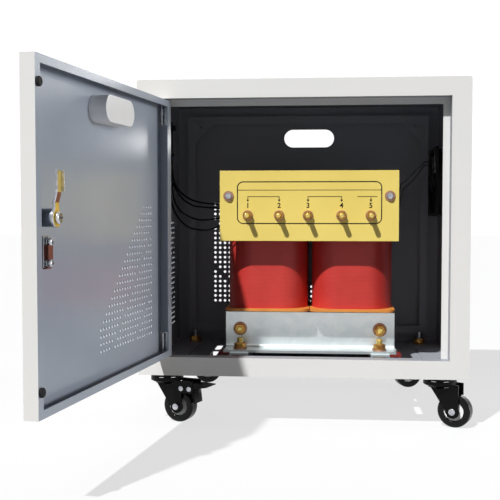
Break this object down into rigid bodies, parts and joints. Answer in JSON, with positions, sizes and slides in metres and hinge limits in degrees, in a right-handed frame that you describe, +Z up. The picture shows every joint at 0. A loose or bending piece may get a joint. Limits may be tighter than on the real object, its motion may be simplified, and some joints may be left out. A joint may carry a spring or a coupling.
{
  "type": "isolation transformer",
  "caption": "Dry isolation transformer in a vented sheet steel case on swivel casters, door open on its terminal board.",
  "frame": {"origin": "on the floor, under the middle of the whole part with its door open as modelled", "axes": "+Z up; -Y out of the door opening, the way the terminal studs point; +X to the right as seen from the front"},
  "size_m": [0.5438, 0.7972, 0.527],
  "materials": {
    "black_plastic": "black moulded plastic",
    "black_rubber": "soft rubber",
    "black_steel": "black coated pressed steel",
    "black_tyre": "smooth black tread",
    "bright_zinc": "bright zinc",
    "case_paint": "fine textured off-white enamel",
    "coil_board": "orange pressed insulating board",
    "coil_tape": "red insulating tape, varnished",
    "core_steel": "varnished laminations",
    "gold_zinc": "yellow passivated zinc",
    "lead_cover": "black lead insulation",
    "lock_metal": "dark coated zinc casting",
    "red_board": "red insulating sheet",
    "thin_lead_cover": "light lead insulation",
    "white_plastic": "white moulded plastic",
    "yellow_board": "yellow epoxy glass board",
    "zinc_sheet": "galvanised, with a soft spangle"
  },
  "bodies": {
    "case": {"board_arms": "zinc_sheet", "board_bolts": "gold_zinc", "cabinet_wrap": "case_paint", "caster_nuts": "gold_zinc", "caster_stems": "bright_zinc", "clamp_bolts": "gold_zinc", "clamp_nuts": "gold_zinc", "coil_flanges": "coil_board", "coil_left": "coil_tape", "coil_right": "coil_tape", "edge_insulators": "red_board", "fan_frame": "black_plastic", "fan_leads": "thin_lead_cover", "flat_washers": "gold_zinc", "floor_plate": "case_paint", "foot_bolts": "gold_zinc", "foot_nuts": "gold_zinc", "front_frame": "case_paint", "harness_leads": "lead_cover", "lower_clamp_front": "zinc_sheet", "lower_clamp_rear": "zinc_sheet", "rear_cover": "case_paint", "rear_frame": "case_paint", "terminal_board": "yellow_board", "terminal_nuts": "gold_zinc", "terminal_studs": "gold_zinc", "terminal_washers": "gold_zinc", "transformer_core": "core_steel", "transformer_rails": "zinc_sheet", "upper_clamp_front": "zinc_sheet", "upper_clamp_rear": "zinc_sheet", "winding_leads": "lead_cover"},
    "door": {"door_panel": "case_paint", "hinge_brackets": "bright_zinc", "door_bumpers": "black_rubber", "pull_cup": "white_plastic", "lock_housing": "lock_metal", "lock_clamp": "bright_zinc"},
    "lock": {"lock_core": "lock_metal", "lock_cam": "gold_zinc", "cam_screw": "bright_zinc"},
    "fan": {"fan_rotor": "black_plastic"},
    "caster_front_left": {"caster_fork_front_left": "black_steel", "caster_axle_front_left": "bright_zinc"},
    "wheel_front_left": {"caster_wheel_front_left": "white_plastic", "caster_tyre_front_left": "black_tyre"},
    "pedal_front_left": {"brake_pedal_front_left": "black_steel"},
    "caster_front_right": {"caster_fork_front_right": "black_steel", "caster_axle_front_right": "bright_zinc"},
    "wheel_front_right": {"caster_wheel_front_right": "white_plastic", "caster_tyre_front_right": "black_tyre"},
    "caster_rear_left": {"caster_fork_rear_left": "black_steel", "caster_axle_rear_left": "bright_zinc"},
    "wheel_rear_left": {"caster_wheel_rear_left": "white_plastic", "caster_tyre_rear_left": "black_tyre"},
    "caster_rear_right": {"caster_fork_rear_right": "black_steel", "caster_axle_rear_right": "bright_zinc"},
    "wheel_rear_right": {"caster_wheel_rear_right": "white_plastic", "caster_tyre_rear_right": "black_tyre"},
    "pedal_rear_right": {"brake_pedal_rear_right": "black_steel"}
  },
  "joints": [
    {"name": "door_hinge", "type": "hinge", "parent": "case", "child": "door", "pos_m": [-0.20057, 0.02911, 0.302], "axis": [0, 0, -1], "range_deg": [-98.8, 9]},
    {"name": "lock_turn", "type": "hinge", "parent": "door", "child": "lock", "pos_m": [-0.24303, -0.37262, 0.3224], "axis": [0.9882, -0.153, 0], "range_deg": [0, 90]},
    {"name": "fan_spin", "type": "hinge", "parent": "case", "child": "fan", "pos_m": [0.24793, 0.28361, 0.3798], "axis": [1, 0, 0], "continuous": true},
    {"name": "swivel_front_left", "type": "hinge", "parent": "case", "child": "caster_front_left", "pos_m": [-0.20007, 0.06161, 0.067], "axis": [0, 0, 1], "continuous": true},
    {"name": "roll_front_left", "type": "hinge", "parent": "caster_front_left", "child": "wheel_front_left", "pos_m": [-0.17752, 0.0534, 0.0254], "axis": [-0.342, -0.9397, 0], "continuous": true},
    {"name": "brake_front_left", "type": "hinge", "parent": "caster_front_left", "child": "pedal_front_left", "pos_m": [-0.1559, 0.04553, 0.0544], "axis": [0.342, 0.9397, 0], "range_deg": [0, 8]},
    {"name": "swivel_front_right", "type": "hinge", "parent": "case", "child": "caster_front_right", "pos_m": [0.22393, 0.06161, 0.067], "axis": [0, 0, 1], "continuous": true},
    {"name": "roll_front_right", "type": "hinge", "parent": "caster_front_right", "child": "wheel_front_right", "pos_m": [0.24568, 0.05147, 0.0254], "axis": [-0.4226, -0.9063, 0], "continuous": true},
    {"name": "swivel_rear_left", "type": "hinge", "parent": "case", "child": "caster_rear_left", "pos_m": [-0.20007, 0.36061, 0.067], "axis": [0, 0, 1], "continuous": true},
    {"name": "roll_rear_left", "type": "hinge", "parent": "caster_rear_left", "child": "wheel_rear_left", "pos_m": [-0.17659, 0.3656, 0.0254], "axis": [0.2079, -0.9781, 0], "continuous": true},
    {"name": "swivel_rear_right", "type": "hinge", "parent": "case", "child": "caster_rear_right", "pos_m": [0.22393, 0.36061, 0.067], "axis": [0, 0, 1], "continuous": true},
    {"name": "roll_rear_right", "type": "hinge", "parent": "caster_rear_right", "child": "wheel_rear_right", "pos_m": [0.20138, 0.3524, 0.0254], "axis": [-0.342, 0.9397, 0], "continuous": true},
    {"name": "brake_rear_right", "type": "hinge", "parent": "caster_rear_right", "child": "pedal_rear_right", "pos_m": [0.17976, 0.34453, 0.0544], "axis": [0.342, -0.9397, 0], "range_deg": [0, 8]}
  ]
}
